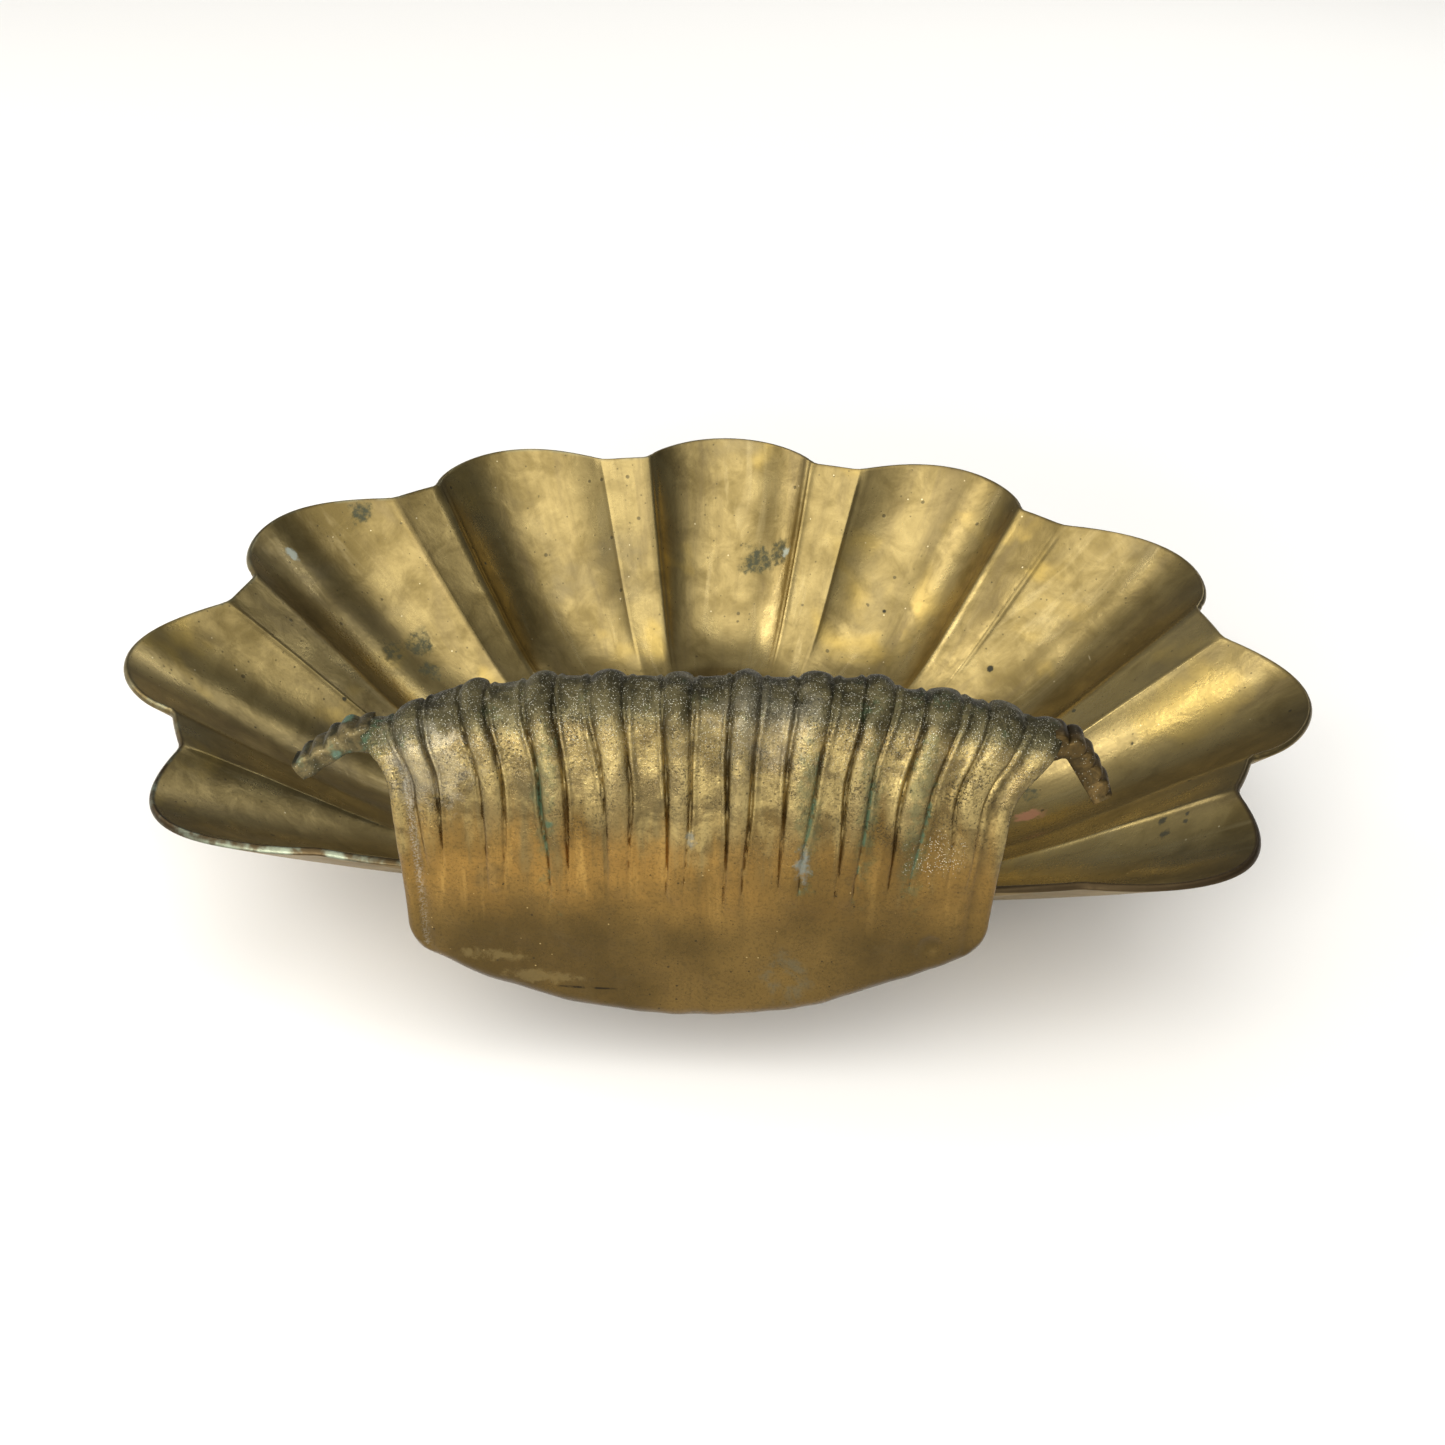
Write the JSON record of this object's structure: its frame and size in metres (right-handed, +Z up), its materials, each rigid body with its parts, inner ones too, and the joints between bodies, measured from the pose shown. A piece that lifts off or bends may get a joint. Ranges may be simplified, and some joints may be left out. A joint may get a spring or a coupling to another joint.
{
  "type": "brass shell bowl",
  "caption": "Wide brass scallop-shell bowl on a flat foot, with a tall reeded hinge scroll at the front and a crimped horn at each upper corner.",
  "frame": {"origin": "under the middle of the bowl, on the surface it stands on", "axes": "+Z up, -Y towards the hinge scroll, +X to the right when the scroll is seen from the front"},
  "size_m": [0.4639, 0.367, 0.1551],
  "materials": {
    "bowl_brass": "satin, softly tarnished olive-gold brass with small stains",
    "scroll_brass": "cast brass, warm bronze tarnish below and pitted, granular patina with verdigris above",
    "horn_brass": "dark corroded cast brass with verdigris",
    "braze_metal": "rough yellow brazing brass"
  },
  "bodies": {
    "root": {"shell_bowl": "bowl_brass", "hinge_scroll": "scroll_brass", "left_horn": "horn_brass", "right_horn": "horn_brass", "braze_fillet": "braze_metal"}
  },
  "joints": []
}
